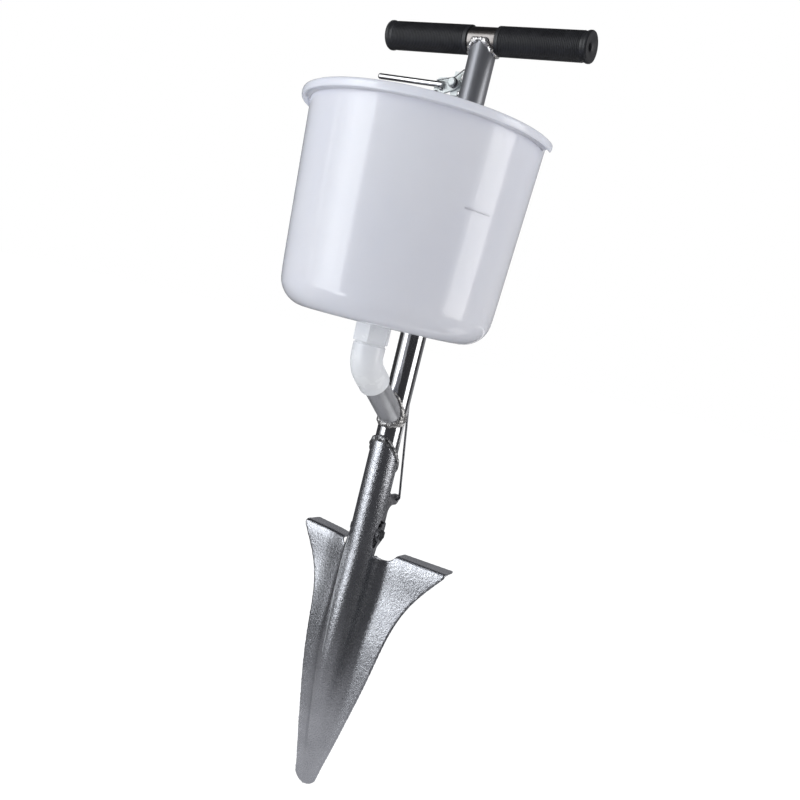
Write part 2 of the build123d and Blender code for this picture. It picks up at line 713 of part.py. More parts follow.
# Trigger plate: turns on the pivot bolt in front of the bracket and carries rod and wire
plate_back_y = -bracket_thickness / 2 - plate_play
plate_front_y = plate_back_y - plate_thickness
wire_hole_r = wire_r + hook_play
with BuildPart() as trigger_plate:
    with BuildSketch(Plane.XZ.offset(-plate_back_y)):
        with Locations((pivot_x, pivot_z)):
            Circle(7.0)
        with Locations((plate_swell_x, plate_swell_z)):
            Circle(8.5)
        with Locations((wire_hole_x, wire_hole_z)):
            Circle(4.5)
        make_hull()
        with Locations((pivot_x, pivot_z)):
            Circle(pivot_bolt_r + pin_fit, mode=Mode.SUBTRACT)
        with Locations((wire_hole_x, wire_hole_z)):
            Circle(wire_hole_r, mode=Mode.SUBTRACT)
    extrude(amount=plate_thickness)
finish(trigger_plate, "trigger_plate")

# Trigger rod: the finger rod, laid on the plate's front and rounded at its tip
rod_y = plate_front_y - rod_r
rod_start = Vector(rod_root_x, rod_y, rod_root_z)
rod_run = Vector(rod_tip_x, rod_y, rod_tip_z) - rod_start
rod_plane = Plane(origin=rod_start, x_dir=(0, 1, 0), z_dir=rod_run)
with BuildPart() as trigger_rod:
    rod(rod_plane, rod_r, rod_run.length)
    fillet(trigger_rod.edges().sort_by(Axis.X)[0], 2.5)
finish(trigger_rod, "trigger_rod")

# Rod weld: a bead above and below the rod where it lies on the plate
with BuildPart() as rod_weld:
    for side, bead_length in ((1, 9.0), (-1, 3.5)):
        bead = Plane(origin=(rod_root_x - 1.0, plate_front_y, rod_root_z + side * rod_r), z_dir=rod_run)
        rod(bead, 2.0, bead_length)
    add(trigger_plate.part, mode=Mode.SUBTRACT)
    add(trigger_rod.part, mode=Mode.SUBTRACT)
finish(rod_weld, "rod_weld")

# Pivot bolt and nut: the head keeps the spring's turns on the shank
spring_start = math.radians(135.0)
spring_end = math.radians(103.5 + 360.0 * 2)
spring_back_y = plate_front_y - spring_wire_r - spring_play
spring_length = spring_pitch * (spring_end - spring_start) / (2 * math.pi)
pivot_head_y = spring_back_y - spring_length - spring_wire_r - spring_play
pivot_head = 2.2
pivot_head_r = 4.8
pivot_head_round = 1.2
pivot_flats = 10.0
pivot_nut_height = 5.0
with BuildPart() as pivot_bolt:
    pivot_plane = Plane(origin=(pivot_x, pivot_head_y, pivot_z), z_dir=(0, -1, 0))
    rod(pivot_plane, pivot_head_r, pivot_head)
    fillet(pivot_bolt.edges().group_by(Axis.Y)[0], pivot_head_round)
    rod(pivot_plane, pivot_bolt_r, pivot_head_y - bracket_thickness / 2 - pivot_nut_height - 2.0)
finish(pivot_bolt, "pivot_bolt")

with BuildPart() as pivot_nut:
    nut_seat = Plane(origin=(pivot_x, bracket_thickness / 2, pivot_z), z_dir=(0, 1, 0))
    hexagon(nut_seat, pivot_flats, pivot_nut_height, pivot_bolt_r)
finish(pivot_nut, "pivot_nut")


def arc_mid(start, corner, end):
    """The middle of the arc that is tangent at its ends to the lines through a corner point."""
    chord_mid = (start + end) * 0.5
    cosine = (end - start).length / 2 / (corner - start).length
    return chord_mid + (corner - chord_mid) * (cosine / (1 + cosine))


def biarc(start, start_dir, end, end_dir):
    """Draw two tangent arcs from one point and direction to another."""
    across = end - start
    both = start_dir + end_dir
    bend = 2 * (1 - start_dir.dot(end_dir))
    along = across.dot(both)
    reach = (math.sqrt(along**2 + bend * across.dot(across)) - along) / bend
    start_corner = start + start_dir * reach
    end_corner = end - end_dir * reach
    joint = (start_corner + end_corner) * 0.5
    ThreePointArc(start, arc_mid(start, start_corner, joint), joint)
    ThreePointArc(joint, arc_mid(joint, end_corner, end), end)


def spring_point(angle):
    """A point on the spring's helix, whose angle counts from +X towards +Z."""
    lead = spring_pitch * (angle - spring_start) / (2 * math.pi)
    return Vector(
        pivot_x + spring_mean_r * math.cos(angle),
        spring_back_y - lead,
        pivot_z + spring_mean_r * math.sin(angle),
    )


def spring_dir(angle):
    """The helix's direction at an angle."""
    lead = spring_pitch / (2 * math.pi * spring_mean_r)
    return Vector(-math.sin(angle), -lead, math.cos(angle)).normalized()


# Return spring: two turns round the pivot, one leg against the shaft and one on the rod
spring_leg_shaft = 18.8
spring_leg_rod = 20.0
quarters = 8
spring_angles = [spring_start + (spring_end - spring_start) * i / quarters for i in range(quarters + 1)]
leg_shaft_end = spring_point(spring_start) - spring_dir(spring_start) * spring_leg_shaft
leg_rod_end = spring_point(spring_end) + spring_dir(spring_end) * spring_leg_rod
with BuildPart() as return_spring:
    with BuildLine() as spring_path:
        Line(leg_shaft_end, spring_point(spring_start))
        for a, b in zip(spring_angles, spring_angles[1:]):
            biarc(spring_point(a), spring_dir(a), spring_point(b), spring_dir(b))
        Line(spring_point(spring_end), leg_rod_end)
    with BuildSketch(Plane(origin=leg_shaft_end, z_dir=spring_dir(spring_start))):
        Circle(spring_wire_r)
    sweep(path=spring_path.line)
finish(return_spring, "return_spring")
spring_wire = spring_path.wires()[0]
spring_steps = 200
spring_points = [spring_wire @ (i / spring_steps) for i in range(spring_steps + 1)]
turn_steps = round(spring_steps * math.pi * spring_mean_r / spring_wire.length)
spring_gap = min(
    (spring_points[i] - spring_points[j]).length - 2 * spring_wire_r
    for i in range(spring_steps + 1)
    for j in range(i + turn_steps, spring_steps + 1)
)
print(f"return spring: least gap to itself {spring_gap:.2f} mm")

# Pull wire: hooked through the trigger plate and through the lug of the flap's arm
wire_back_y = 3.0
hook_front_y = plate_front_y - 4.5
wire_points = (
    (wire_hole_x, hook_front_y, wire_hole_z - 8.0),
    (wire_hole_x, hook_front_y, wire_hole_z),
    (wire_hole_x, wire_back_y, wire_hole_z),
    (arm_x + 6.2, lug_y, lug_z),
    (arm_x - 6.3, lug_y, lug_z),
    (arm_x - 12.8, lug_y, lug_z + 8.0),
)
with BuildPart() as pull_wire:
    with BuildLine() as wire_path:
        FilletPolyline(*wire_points, radius=wire_bend_r)
    with BuildSketch(Plane(origin=wire_points[0], z_dir=(0, 0, 1))):
        Circle(wire_r)
    sweep(path=wire_path.line)
finish(pull_wire, "pull_wire")
print(f"pull wire: {wire_path.wires()[0].length:.0f} mm long")
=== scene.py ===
import bpy
import math
from mathutils import Matrix, Vector


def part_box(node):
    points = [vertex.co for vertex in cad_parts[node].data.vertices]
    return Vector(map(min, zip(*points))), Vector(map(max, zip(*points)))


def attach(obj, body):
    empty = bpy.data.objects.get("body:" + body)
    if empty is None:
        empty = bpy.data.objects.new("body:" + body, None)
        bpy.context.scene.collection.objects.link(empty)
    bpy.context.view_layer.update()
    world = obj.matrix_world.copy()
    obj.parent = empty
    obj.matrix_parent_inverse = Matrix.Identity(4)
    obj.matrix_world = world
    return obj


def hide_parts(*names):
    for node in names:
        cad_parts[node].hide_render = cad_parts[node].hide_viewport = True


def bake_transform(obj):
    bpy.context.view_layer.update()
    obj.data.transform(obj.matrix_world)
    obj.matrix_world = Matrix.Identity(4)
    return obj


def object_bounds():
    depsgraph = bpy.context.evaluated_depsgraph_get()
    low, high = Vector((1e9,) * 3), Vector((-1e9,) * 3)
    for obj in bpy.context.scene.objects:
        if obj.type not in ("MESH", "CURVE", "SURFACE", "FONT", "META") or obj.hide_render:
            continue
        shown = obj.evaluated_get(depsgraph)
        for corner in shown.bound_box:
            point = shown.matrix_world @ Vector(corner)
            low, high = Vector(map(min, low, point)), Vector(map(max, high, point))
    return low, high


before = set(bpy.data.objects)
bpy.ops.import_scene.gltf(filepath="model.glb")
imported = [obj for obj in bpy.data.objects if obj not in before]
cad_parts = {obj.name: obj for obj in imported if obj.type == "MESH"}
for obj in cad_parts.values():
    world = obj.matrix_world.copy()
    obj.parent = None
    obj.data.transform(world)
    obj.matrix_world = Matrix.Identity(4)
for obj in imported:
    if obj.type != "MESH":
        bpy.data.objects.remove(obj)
cad_low, cad_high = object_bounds()


# Shaft: the long steel tube that carries everything, drawn and polished, so its grain runs along it.
# It is bright below the hopper and satin near the handle, where hands have dulled it.
def start_finish(name):
    """A new material with its node tree, links and main shader."""
    finish = bpy.data.materials.new(name)
    finish.use_nodes = True
    tree = finish.node_tree
    return finish, tree.nodes, tree.links, tree.nodes["Principled BSDF"]


def object_place(nodes, links, scale=(1.0, 1.0, 1.0), turn=(0.0, 0.0, 0.0)):
    """Object coordinates through a mapping that stretches and turns a pattern."""
    place = nodes.new("ShaderNodeTexCoord")
    mapping = nodes.new("ShaderNodeMapping")
    mapping.inputs["Scale"].default_value = scale
    mapping.inputs["Rotation"].default_value = turn
    links.new(place.outputs["Object"], mapping.inputs["Vector"])
    return mapping.outputs["Vector"]


def noise(nodes, links, place, scale, detail=4.0, rough=0.5):
    """A noise pattern that reads a place and gives its value."""
    pattern = nodes.new("ShaderNodeTexNoise")
    pattern.inputs["Scale"].default_value = scale
    pattern.inputs["Detail"].default_value = detail
    pattern.inputs["Roughness"].default_value = rough
    links.new(place, pattern.inputs["Vector"])
    return pattern.outputs["Fac"]


def spread(nodes, links, value, low, high, from_low=0.3, from_high=0.7):
    """Stretch a pattern's value over a range."""
    stretch = nodes.new("ShaderNodeMapRange")
    stretch.inputs["From Min"].default_value = from_low
    stretch.inputs["From Max"].default_value = from_high
    stretch.inputs["To Min"].default_value = low
    stretch.inputs["To Max"].default_value = high
    links.new(value, stretch.inputs["Value"])
    return stretch.outputs["Result"]


def two_tone(nodes, links, value, dark, light, low=0.3, high=0.7):
    """Turn a pattern's value into a colour between two tones."""
    ramp = nodes.new("ShaderNodeValToRGB")
    ramp.color_ramp.elements[0].position = low
    ramp.color_ramp.elements[0].color = (*dark, 1.0)
    ramp.color_ramp.elements[1].position = high
    ramp.color_ramp.elements[1].color = (*light, 1.0)
    links.new(value, ramp.inputs["Fac"])
    return ramp.outputs["Color"]


def raise_surface(nodes, links, shader, height, strength, distance):
    """Let a pattern stand out of the surface as a bump."""
    bump = nodes.new("ShaderNodeBump")
    bump.inputs["Strength"].default_value = strength
    bump.inputs["Distance"].default_value = distance
    links.new(height, bump.inputs["Height"])
    links.new(bump.outputs["Normal"], shader.inputs["Normal"])


def dress(finish, *names):
    """Give a finish to nodes of the frame."""
    for name in names:
        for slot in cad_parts[name].material_slots:
            slot.material = finish


def drawn_steel(name, dark, light, rough_low, rough_high, grain, turn=(0.0, 0.0, 0.0), metallic=1.0):
    """Drawn or ground steel whose fine scratches run along the piece."""
    finish, nodes, links, shader = start_finish(name)
    along = object_place(nodes, links, grain, turn)
    scratches = noise(nodes, links, along, scale=1.0, detail=5.0, rough=0.65)
    clouds = noise(nodes, links, object_place(nodes, links), scale=38.0, detail=3.0)
    links.new(two_tone(nodes, links, clouds, dark, light), shader.inputs["Base Color"])
    links.new(spread(nodes, links, scratches, rough_low, rough_high), shader.inputs["Roughness"])
    raise_surface(nodes, links, shader, scratches, strength=0.12, distance=0.0002)
    shader.inputs["Metallic"].default_value = metallic
    return finish, nodes, links, shader


shaft_steel, nodes, links, shader = drawn_steel(
    "shaft_steel", dark=(0.50, 0.50, 0.515), light=(0.62, 0.62, 0.63), rough_low=0.10, rough_high=0.2,
    grain=(900.0, 900.0, 9.0))
dull_from_z, dull_full_z = 0.62, 0.86
dull_grey = (0.30, 0.305, 0.325)
dull_rough, dull_metallic = 0.26, 0.72
height = nodes.new("ShaderNodeSeparateXYZ")
links.new(object_place(nodes, links), height.inputs["Vector"])
dulled = spread(nodes, links, height.outputs["Z"], 0.0, 1.0, dull_from_z, dull_full_z)
rougher = nodes.new("ShaderNodeMath")
rougher.operation = "MULTIPLY_ADD"
links.new(dulled, rougher.inputs[0])
rougher.inputs[1].default_value = dull_rough
links.new(shader.inputs["Roughness"].links[0].from_socket, rougher.inputs[2])
links.new(rougher.outputs["Value"], shader.inputs["Roughness"])
greyer = nodes.new("ShaderNodeMix")
greyer.data_type = "RGBA"
links.new(dulled, greyer.inputs["Factor"])
links.new(shader.inputs["Base Color"].links[0].from_socket, greyer.inputs["A"])
greyer.inputs["B"].default_value = (*dull_grey, 1.0)
links.new(greyer.outputs["Result"], shader.inputs["Base Color"])
links.new(spread(nodes, links, dulled, 1.0, dull_metallic, 0.0, 1.0), shader.inputs["Metallic"])
dress(shaft_steel, "shaft_tube")

# Handle bar: the cross tube of the T, bright plated steel. Only its middle shows, between the grips.
# The plating has a warm tint there from the heat of the weld, and its very dark colour is also painted shade,
# standing in for the dark reflections on the bar.
bar_low, bar_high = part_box("handle_bar")
bar_z = (bar_low.z + bar_high.z) / 2
bar_r = (bar_high.z - bar_low.z) / 2
# Dark warm tones: part heat tint, part painted shade for the bar's dark reflections.
bar_plating, nodes, links, shader = drawn_steel(
    "bar_plating", dark=(0.115, 0.10, 0.09), light=(0.225, 0.213, 0.206), rough_low=0.2, rough_high=0.36,
    grain=(12.0, 700.0, 700.0))
dress(bar_plating, "handle_bar")


# Handle weld: the bright, lumpy bead that runs round the T joint like an arch.
# It was laid by hand, so it swells and dips, and its ripples catch the light.
def take_up(piece):
    """Make a piece the only one selected, for the operators that follow."""
    bpy.ops.object.select_all(action="DESELECT")
    piece.select_set(True)
    bpy.context.view_layer.objects.active = piece


def merged_copy(node, name):
    """A copy of a node's mesh with its loose triangles merged and no finish."""
    copy = bpy.data.objects.new(name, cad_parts[node].data.copy())
    bpy.context.scene.collection.objects.link(copy)
    copy.data.materials.clear()
    take_up(copy)
    bpy.ops.object.mode_set(mode="EDIT")
    bpy.ops.mesh.select_all(action="SELECT")
    bpy.ops.mesh.remove_doubles(threshold=0.00001)
    bpy.ops.object.mode_set(mode="OBJECT")
    return copy


def even_copy(node, name, voxel):
    """A merged copy of a node's mesh, with its skin evenly meshed."""
    copy = merged_copy(node, name)
    even = copy.modifiers.new("even", "REMESH")
    even.mode = "VOXEL"
    even.voxel_size = voxel
    bpy.ops.object.modifier_apply(modifier="even")
    return copy


def soften(piece, rounds):
    """Smooth a piece's mesh and its shading."""
    smooth = piece.modifiers.new("smooth", "SMOOTH")
    smooth.factor = 0.5
    smooth.iterations = rounds
    bpy.ops.object.modifier_apply(modifier="smooth")
    bpy.ops.object.shade_smooth()


def stand_for(piece, node, body, finish):
    """Dress a piece, let it ride on a body and show it in place of a node."""
    piece.data.materials.append(finish)
    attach(piece, body)
    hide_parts(node)


def laid_bead(node, body, finish, voxel, swell, swell_size, rise=0.4):
    """A weld bead made from a node's plain one, pushed in and out by a pattern."""
    bead = even_copy(node, node + "_bead", voxel)
    lumps = bpy.data.textures.new(node + "_lumps", "CLOUDS")
    lumps.noise_scale = swell_size
    lumps.noise_depth = 1
    push = bead.modifiers.new("push", "DISPLACE")
    push.texture = lumps
    push.texture_coords = "GLOBAL"
    push.strength = swell
    push.mid_level = rise
    bpy.ops.object.modifier_apply(modifier="push")
    soften(bead, rounds=2)
    stand_for(bead, node, body, finish)


def weld_finish(name, dark, light):
    """Rippled weld metal, patched between two tones."""
    finish, nodes, links, shader = start_finish(name)
    place = object_place(nodes, links)
    ripples = noise(nodes, links, place, scale=620.0, detail=3.0, rough=0.6)
    patches = noise(nodes, links, place, scale=170.0, detail=3.0, rough=0.6)
    links.new(two_tone(nodes, links, patches, dark, light, low=0.36, high=0.56), shader.inputs["Base Color"])
    links.new(spread(nodes, links, ripples, low=0.16, high=0.42), shader.inputs["Roughness"])
    raise_surface(nodes, links, shader, ripples, strength=0.6, distance=0.0007)
    shader.inputs["Metallic"].default_value = 0.9
    return finish


bright_weld = weld_finish("bright_weld", dark=(0.52, 0.50, 0.48), light=(0.92, 0.91, 0.90))
laid_bead("handle_weld", "frame", bright_weld, voxel=0.0005, swell=0.0032, swell_size=0.0045, rise=-0.1)


# Grips: black rubber sleeves pushed on the bar, with close rings for the hand, a smooth band at the
# inner end, a bead round the outer end and a small vent in its face.
def drawn_out(name, rings, segments, across):
    """A skin drawn out ring by ring, from pairs of centre and radius, and left open for editing. The
    rings lie in the plane that across names, as 1 for each axis in it and 0 for the axis they follow."""
    bpy.ops.object.select_all(action="DESELECT")
    centre, radius = rings[0]
    upright = 0 if across[0] else math.pi / 2
    bpy.ops.mesh.primitive_circle_add(
        vertices=segments, radius=radius, location=centre, rotation=(0, upright, 0))
    skin = bpy.context.object
    skin.name = name
    bpy.ops.object.transform_apply(location=True, rotation=True, scale=True)
    bpy.ops.object.mode_set(mode="EDIT")
    bpy.ops.mesh.select_all(action="SELECT")
    for next_centre, next_radius in rings[1:]:
        bpy.ops.mesh.extrude_region_move(
            TRANSFORM_OT_translate={"value": Vector(next_centre) - Vector(centre)})
        grow = next_radius / radius
        if abs(grow - 1) > 1e-6:
            bpy.ops.transform.resize(
                value=[grow if in_plane else 1 for in_plane in across], center_override=next_centre)
        centre, radius = next_centre, next_radius
    return skin


def close_outward():
    """End the editing of a skin, with all its faces turned outward."""
    bpy.ops.mesh.select_all(action="SELECT")
    bpy.ops.mesh.normals_make_consistent(inside=False)
    bpy.ops.object.mode_set(mode="OBJECT")


grip_low, grip_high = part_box("right_grip")
grip_start, grip_end = grip_low.x, grip_high.x
bead_r = (grip_high.z - grip_low.z) / 2
rib_r = bead_r - 0.0007
groove_r = rib_r - 0.0005
rib_round = 0.00005
rib_pitch = 0.0021
rib_start, rib_stop = grip_start + 0.0062, grip_end - 0.0105
vent_r = 0.0041
# The mouth and the smooth band, as pairs of place along the bar and radius.
grip_stations = [
    (grip_start + 0.0006, bar_r),
    (grip_start, bar_r + 0.0005),
    (grip_start, rib_r - 0.0008),
    (grip_start + 0.0008, rib_r),
    (grip_start + 0.0052, rib_r),
    (grip_start + 0.0056, groove_r - 0.0002),
]
# The rings for the hand.
rib_x = rib_start
while rib_x < rib_stop:
    grip_stations += [
        (rib_x, groove_r),
        (rib_x + 0.3 * rib_pitch, rib_r - rib_round),
        (rib_x + 0.45 * rib_pitch, rib_r),
        (rib_x + 0.6 * rib_pitch, rib_r - rib_round),
        (rib_x + 0.9 * rib_pitch, groove_r),
    ]
    rib_x += rib_pitch
# The bead, the face of the end and the vent in it.
grip_stations += [
    (grip_end - 0.0072, groove_r),
    (grip_end - 0.0060, rib_r),
    (grip_end - 0.0044, bead_r - 0.0001),
    (grip_end - 0.0036, bead_r),
    (grip_end - 0.0016, bead_r - 0.0001),
    (grip_end - 0.0005, bead_r - 0.0008),
    (grip_end, bead_r - 0.0022),
    (grip_end - 0.0002, bead_r - 0.0036),
    (grip_end - 0.0022, vent_r + 0.0021),
    (grip_end - 0.0026, vent_r + 0.0009),
    (grip_end - 0.0034, vent_r + 0.0003),
    (grip_end - 0.0075, vent_r),
]
grip_rubber, nodes, links, shader = start_finish("grip_rubber")
rubber_place = object_place(nodes, links)
bloom = noise(nodes, links, rubber_place, scale=60.0, detail=4.0, rough=0.6)
pores = noise(nodes, links, rubber_place, scale=1500.0, detail=2.0)
links.new(two_tone(nodes, links, bloom, dark=(0.013, 0.0135, 0.0155), light=(0.025, 0.0255, 0.0295)),
          shader.inputs["Base Color"])
links.new(spread(nodes, links, bloom, low=0.36, high=0.5), shader.inputs["Roughness"])
raise_surface(nodes, links, shader, pores, strength=0.25, distance=0.0002)
for side, node in ((-1, "left_grip"), (1, "right_grip")):
    grip_rings = [((side * reach, 0, bar_z), radius) for reach, radius in grip_stations]
    sleeve = drawn_out(node + "_sleeve", grip_rings, segments=80, across=(0, 1, 1))
    bpy.ops.mesh.edge_face_add()
    close_outward()
    bpy.ops.object.shade_smooth_by_angle(angle=math.radians(35))
    stand_for(sleeve, node, "frame", grip_rubber)

# Branch tube and its weld: the steel tube that leads the granules slantwise into the shaft,
# coped and welded to it with a rough ring of weld metal.
branch_low, branch_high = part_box("branch_tube")
branch_turn = math.atan2(branch_high.z - branch_low.z, branch_high.y - branch_low.y)
branch_steel, nodes, links, shader = drawn_steel(
    "branch_steel", dark=(0.52, 0.525, 0.545), light=(0.62, 0.625, 0.65), rough_low=0.26, rough_high=0.4,
    grain=(700.0, 12.0, 700.0), turn=(branch_turn, 0.0, 0.0), metallic=0.72)
dress(branch_steel, "branch_tube")
weld_metal = weld_finish("weld_metal", dark=(0.16, 0.155, 0.155), light=(0.62, 0.61, 0.60))
laid_bead("branch_weld", "frame", weld_metal, voxel=0.0006, swell=0.0022, swell_size=0.004, rise=-0.1)

# Hopper: a bucket moulded in milky polythene, round in front and flat behind, with a turned-down lip round
# its front, a level line on its right and a saddle that rests on the shaft. Light soaks into its wall.
hopper_low, hopper_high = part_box("hopper")
hopper_tall = hopper_high.z - hopper_low.z
lip_r = hopper_high.x
lip_width = 0.0098
rim_r, rim_y = lip_r - lip_width, -0.080
base_r, base_y = 0.1193, -0.078
back_y = -0.0235
front_round, back_round = 0.030, 0.018
hopper_wall = 0.0025
fitting_low, fitting_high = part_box("outlet_fitting")
outlet_y = (fitting_low.y + fitting_high.y) / 2
outlet_r = 0.0151


def drawn_in(height, round_r):
    """How far a rounded bottom edge draws in at a height above the floor."""
    return round_r - math.sqrt(round_r**2 - max(round_r - height, 0.0) ** 2)


def hopper_ring(height):
    """The centre and radius of the hopper's wall at a height above its floor."""
    share = height / hopper_tall
    radius = base_r + share * (rim_r - base_r) - drawn_in(height, front_round)
    return (0, base_y + share * (rim_y - base_y), hopper_low.z + height), radius


def refine(piece):
    """Divide a piece's mesh once into a smoother one."""
    finer = piece.modifiers.new("finer", "SUBSURF")
    finer.levels = finer.render_levels = 1
    bpy.ops.object.modifier_apply(modifier="finer")


def cut_away(point, way):
    """Cut the piece in hand at a plane, close the cut and drop what lies beyond it."""
    bpy.ops.object.mode_set(mode="EDIT")
    bpy.ops.mesh.select_all(action="SELECT")
    bpy.ops.mesh.bisect(plane_co=point, plane_no=way, use_fill=True, clear_outer=True)
    bpy.ops.object.mode_set(mode="OBJECT")


# The shell: its floor is drawn out from the outlet's hole, then the rounded edge and the wall follow.
floor_rings = [
    ((0, outlet_y, hopper_low.z), outlet_r),
    ((0, outlet_y, hopper_low.z), outlet_r + 0.002),
    ((0, outlet_y, hopper_low.z), 0.040),
    ((0, (outlet_y + base_y) / 2, hopper_low.z), 0.065),
]
round_heights = [front_round * (1 - math.cos(math.radians(turn))) for turn in range(0, 91, 15)]
wall_heights = [0.07, 0.12, 0.17, 0.215, hopper_tall - 0.001, hopper_tall]
wall_rings = [hopper_ring(height) for height in round_heights + wall_heights]
hopper_shell = drawn_out("hopper_shell", floor_rings + wall_rings, segments=120, across=(1, 1, 0))
close_outward()
for corner in hopper_shell.data.vertices:
    flat_y = back_y - drawn_in(corner.co.z - hopper_low.z, back_round)
    corner.co.y = min(corner.co.y, flat_y)
refine(hopper_shell)
thicken = hopper_shell.modifiers.new("thicken", "SOLIDIFY")
thicken.thickness = hopper_wall
thicken.offset = -1.0
thicken.use_even_offset = True
bpy.ops.object.modifier_apply(modifier="thicken")
bpy.ops.object.shade_smooth_by_angle(angle=math.radians(40))

# The lip, as pairs of radius and drop below the rim: out over the top, down and back under to the wall.
lip_end_y = -0.050
lip_root_r = rim_r - 0.0012
lip_profile = [
    (lip_root_r, 0.0),
    (lip_r - 0.0035, 0.0),
    (lip_r - 0.0010, -0.0008),
    (lip_r, -0.0034),
    (lip_r - 0.0003, -0.0082),
    (lip_r - 0.0012, -0.0095),
    (lip_r - 0.0026, -0.0095),
    (lip_r - 0.0034, -0.0084),
    (lip_r - 0.0042, -0.0074),
    (rim_r + 0.0034, -0.0070),
    (rim_r + 0.0012, -0.0084),
    (lip_root_r, -0.0112),
    (lip_root_r, 0.0),
]
lip_rings = [((0, rim_y, hopper_high.z + drop), radius) for radius, drop in lip_profile]
hopper_lip = drawn_out("hopper_lip", lip_rings, segments=160, across=(1, 1, 0))
bpy.ops.mesh.select_all(action="SELECT")
bpy.ops.mesh.remove_doubles(threshold=0.00001)
close_outward()
refine(hopper_lip)
cut_away((0, lip_end_y, 0), (0, 1, 0))
bpy.ops.object.shade_smooth_by_angle(angle=math.radians(40))

# The saddle, whose cut end is pushed into the shell's flat back.
saddle_cut, saddle_seat = 0.0002, 0.0008
hopper_saddle = merged_copy("hopper", "hopper_saddle")
cut_away((0, back_y + saddle_cut, 0), (0, -1, 0))
bpy.ops.object.mode_set(mode="EDIT")
bpy.ops.transform.translate(value=(0, -saddle_seat, 0))
bpy.ops.object.mode_set(mode="OBJECT")

# The level line, a fine rib swept along the wall.
level_z = 0.7243
level_wide, level_tall = 0.0009, 0.0011
level_start, level_turn = math.radians(-32.7), math.radians(14.6)
level_centre, level_r = hopper_ring(level_z - hopper_low.z)
level_y = level_centre[1]
bpy.ops.object.select_all(action="DESELECT")
bpy.ops.mesh.primitive_plane_add(
    size=1.0, location=(level_r * math.cos(level_start), level_y + level_r * math.sin(level_start), level_z),
    rotation=(math.pi / 2, 0, level_start))
level_line = bpy.context.object
level_line.scale = (level_wide, level_tall, 1.0)
bpy.ops.object.transform_apply(location=True, rotation=True, scale=True)
bpy.ops.object.mode_set(mode="EDIT")
bpy.ops.mesh.select_all(action="SELECT")
bpy.ops.mesh.spin(steps=14, angle=-level_turn, center=(0, level_y, level_z), axis=(0, 0, 1))
close_outward()

take_up(hopper_shell)
for piece in (level_line, hopper_saddle, hopper_lip):
    piece.select_set(True)
bpy.ops.object.join()

hopper_plastic, nodes, links, shader = start_finish("hopper_plastic")
wall_place = object_place(nodes, links)
thickness = noise(nodes, links, wall_place, scale=9.0, detail=3.0)
waves = noise(nodes, links, wall_place, scale=24.0, detail=2.0)
links.new(two_tone(nodes, links, thickness, dark=(0.795, 0.812, 0.918), light=(0.845, 0.857, 0.952)),
          shader.inputs["Base Color"])
links.new(spread(nodes, links, waves, low=0.07, high=0.10), shader.inputs["Roughness"])
raise_surface(nodes, links, shader, waves, strength=0.08, distance=0.002)
shader.inputs["Subsurface Weight"].default_value = 0.6
shader.inputs["Subsurface Radius"].default_value = (0.9, 0.95, 1.0)
shader.inputs["Subsurface Scale"].default_value = 0.01
shader.inputs["Specular IOR Level"].default_value = 0.55
stand_for(hopper_shell, "hopper", "frame", hopper_plastic)


# Outlet: a flanged fitting through the hopper's floor, drawn down on a rubber ring by the six-sided
# collar, with the white bend pushed on below. All three plastic pieces are white gloss mouldings.
def mottled(name, dark, light, rough_low, rough_high, scale, detail=4.0, rough=0.6, bump=None, metallic=0.0):
    """A finish whose colour, roughness and bump follow one pattern. The bump is a strength and a distance."""
    finish, nodes, links, shader = start_finish(name)
    marks = noise(nodes, links, object_place(nodes, links), scale, detail, rough)
    links.new(two_tone(nodes, links, marks, dark, light), shader.inputs["Base Color"])
    links.new(spread(nodes, links, marks, rough_low, rough_high), shader.inputs["Roughness"])
    if bump:
        raise_surface(nodes, links, shader, marks, *bump)
    shader.inputs["Metallic"].default_value = metallic
    return finish, shader


white_plastic, shader = mottled(
    "white_plastic", dark=(0.845, 0.855, 0.88), light=(0.90, 0.91, 0.925), rough_low=0.2, rough_high=0.3,
    scale=45.0, detail=3.0, rough=0.5, bump=(0.06, 0.001))
shader.inputs["Subsurface Weight"].default_value = 0.2
shader.inputs["Subsurface Radius"].default_value = (1.0, 1.0, 1.0)
shader.inputs["Subsurface Scale"].default_value = 0.003
dress(white_plastic, "outlet_fitting", "outlet_nut")
bend = even_copy("elbow", "elbow_bend", voxel=0.0007)
soften(bend, rounds=9)
neck_depth, neck_share = 0.0022, 0.93
neck_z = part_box("elbow")[1].z - neck_depth
for corner in bend.data.vertices:
    if corner.co.z > neck_z:
        corner.co.x *= neck_share
        corner.co.y = outlet_y + neck_share * (corner.co.y - outlet_y)
leg_way = Vector((0, 0.824, -0.566))
leg_trim = 0.0036
leg_end = max(corner.co.dot(leg_way) for corner in bend.data.vertices) - leg_trim
cut_away(leg_way * leg_end, leg_way)
bpy.ops.object.shade_smooth_by_angle(angle=math.radians(40))
stand_for(bend, "elbow", "frame", white_plastic)
seal_rubber, shader = mottled(
    "seal_rubber", dark=(0.03, 0.03, 0.03), light=(0.06, 0.06, 0.06), rough_low=0.6, rough_high=0.8,
    scale=260.0, detail=3.0, rough=0.5)
dress(seal_rubber, "outlet_seal")

# Hopper clip: a strap bent round the shaft and bolted to the hopper's flat back.
# Strap, bolts, nuts and washers are zinc plated, a pale grey with a faint spangle.
zinc, shader = mottled(
    "zinc", dark=(0.55, 0.56, 0.58), light=(0.74, 0.75, 0.77), rough_low=0.26, rough_high=0.42,
    scale=190.0, bump=(0.1, 0.0004), metallic=1.0)
dress(zinc, "hopper_clip", "clip_bolts", "clip_nuts", "clip_washers")
